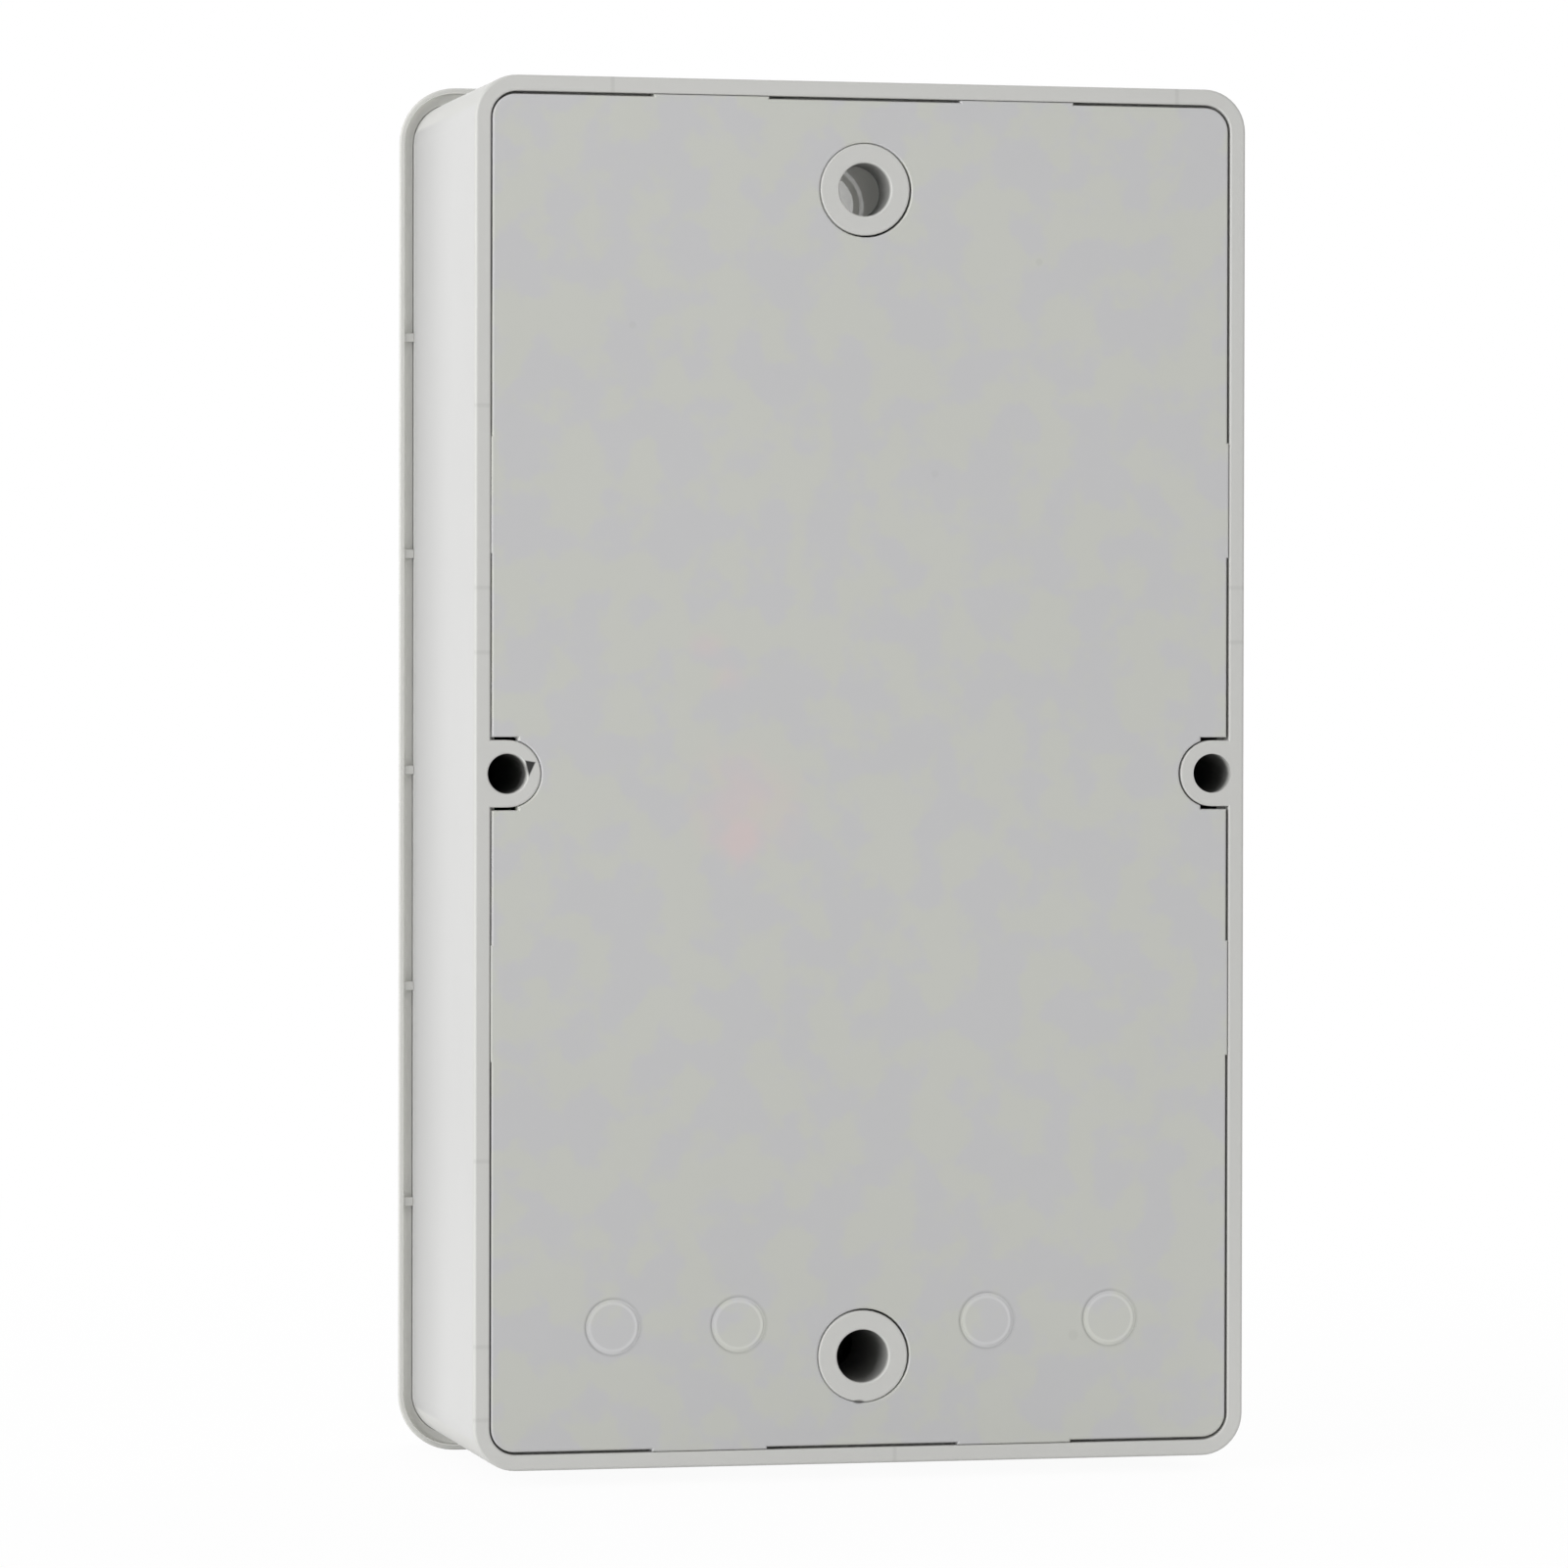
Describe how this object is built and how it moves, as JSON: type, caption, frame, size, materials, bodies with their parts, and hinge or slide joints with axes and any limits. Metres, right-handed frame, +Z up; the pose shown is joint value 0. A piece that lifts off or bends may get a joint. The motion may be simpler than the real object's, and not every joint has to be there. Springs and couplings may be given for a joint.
{
  "type": "electronic timer switch",
  "caption": "Wall-mounted electronic timer switch in a grey moulded case with a snap-in rear plate, display, override keys, a hinged flap over the programming keys and a terminal cover.",
  "frame": {"origin": "on the rear face, midway between the two wall fixing holes", "axes": "+Z up along the long sides, +Y out of the rear face towards the wall, the front faces -Y"},
  "size_m": [0.085, 0.0471, 0.1462],
  "materials": {
    "case_plastic": "light grey moulded plastic, fine spark texture",
    "cover_plastic": "light grey moulded plastic, satin",
    "key_plastic": "dark grey moulded plastic",
    "boost_plastic": "orange moulded plastic",
    "small_key_rubber": "mid grey silicone rubber",
    "black_plastic": "black moulded plastic",
    "clear_lens": "clear acrylic",
    "light_pipe": "red tinted clear acrylic",
    "lamp_red": "red lamp body",
    "board_green": "green solder mask on glass laminate",
    "screw_steel": "zinc plated steel",
    "bright_steel": "nickel plated steel",
    "clamp_brass": "brass",
    "coil_copper": "enamelled copper wire",
    "relay_plastic": "dark blue moulded plastic",
    "bobbin_plastic": "natural nylon",
    "capacitor_yellow": "yellow moulded box",
    "sleeve_blue": "shrink sleeve",
    "varistor_blue": "epoxy dipped disc",
    "resistor_body": "cement coated resistor",
    "lcd_glass": "liquid crystal panel",
    "strip_rubber": "striped conductive rubber",
    "guide_white": "white light guide",
    "chip_ceramic": "ceramic chip parts",
    "terminal_plastic": "grey polyamide"
  },
  "bodies": {
    "case": {"rear_plate": "case_plastic", "body": "case_plastic", "front_cover": "cover_plastic", "case_screws": "screw_steel", "terminal_cover": "cover_plastic", "terminal_cover_screw": "bright_steel", "display_lens": "clear_lens", "mode_switch": "bright_steel", "light_pipe": "light_pipe", "status_lamp": "lamp_red", "tact_switches": "black_plastic", "display_board": "board_green", "display_board_screws": "screw_steel", "lcd_frame": "black_plastic", "lcd_glass": "lcd_glass", "contact_strips": "strip_rubber", "light_guide": "guide_white", "microcontroller": "black_plastic", "quartz_crystal": "bright_steel", "display_chips": "chip_ceramic", "power_board": "board_green", "power_board_screws": "screw_steel", "board_link_pins": "clamp_brass", "board_link_spacer": "black_plastic", "relay_case": "relay_plastic", "relay_base": "black_plastic", "relay_yoke": "bright_steel", "relay_bobbin": "bobbin_plastic", "relay_coil": "coil_copper", "relay_fixed_contacts": "clamp_brass", "suppression_capacitor": "capacitor_yellow", "reservoir_capacitors": "sleeve_blue", "varistor": "varistor_blue", "dropper_resistor": "resistor_body", "rectifier_diodes": "black_plastic", "transistors": "black_plastic", "backup_cell": "bright_steel", "cell_tabs": "bright_steel", "terminal_blocks": "terminal_plastic", "terminal_clamps": "clamp_brass", "terminal_screws": "screw_steel"},
    "flap_door": {"flap": "cover_plastic"},
    "boost_key": {"boost_button": "boost_plastic"},
    "override_key": {"override_button": "key_plastic"},
    "day_key": {"key_day": "small_key_rubber"},
    "hour_key": {"key_hour": "small_key_rubber"},
    "minute_key": {"key_minute": "small_key_rubber"},
    "program_key": {"key_program": "small_key_rubber"},
    "reset_pin": {"reset_key": "black_plastic"},
    "mode_slider": {"mode_knob": "black_plastic"},
    "relay_rocker": {"relay_armature": "bright_steel", "relay_contact_blade": "clamp_brass"}
  },
  "joints": [
    {"name": "flap_hinge", "type": "hinge", "parent": "case", "child": "flap_door", "pos_m": [0, -0.0452, -0.0316], "axis": [1, 0, 0], "range_deg": [0, 110]},
    {"name": "boost_press", "type": "slide", "parent": "case", "child": "boost_key", "axis": [0, 1, 0], "range_m": [0, 0.0005], "stiffness_N_per_m": 3000},
    {"name": "override_press", "type": "slide", "parent": "case", "child": "override_key", "axis": [0, 1, 0], "range_m": [0, 0.0005], "stiffness_N_per_m": 3000},
    {"name": "day_press", "type": "slide", "parent": "case", "child": "day_key", "axis": [0, 1, 0], "range_m": [0, 0.0005], "stiffness_N_per_m": 3000},
    {"name": "hour_press", "type": "slide", "parent": "case", "child": "hour_key", "axis": [0, 1, 0], "range_m": [0, 0.0005], "stiffness_N_per_m": 3000},
    {"name": "minute_press", "type": "slide", "parent": "case", "child": "minute_key", "axis": [0, 1, 0], "range_m": [0, 0.0005], "stiffness_N_per_m": 3000},
    {"name": "program_press", "type": "slide", "parent": "case", "child": "program_key", "axis": [0, 1, 0], "range_m": [0, 0.0005], "stiffness_N_per_m": 3000},
    {"name": "reset_press", "type": "slide", "parent": "case", "child": "reset_pin", "axis": [0, 1, 0], "range_m": [0, 0.0005], "stiffness_N_per_m": 3000},
    {"name": "mode_slide", "type": "slide", "parent": "case", "child": "mode_slider", "axis": [1, 0, 0], "range_m": [-0.003, 0.003]},
    {"name": "relay_pull", "type": "hinge", "parent": "case", "child": "relay_rocker", "pos_m": [0.02, -0.01835, -0.0236], "axis": [-1, 0, 0], "range_deg": [0, 2.7], "stiffness_Nm_per_rad": 0.05}
  ]
}
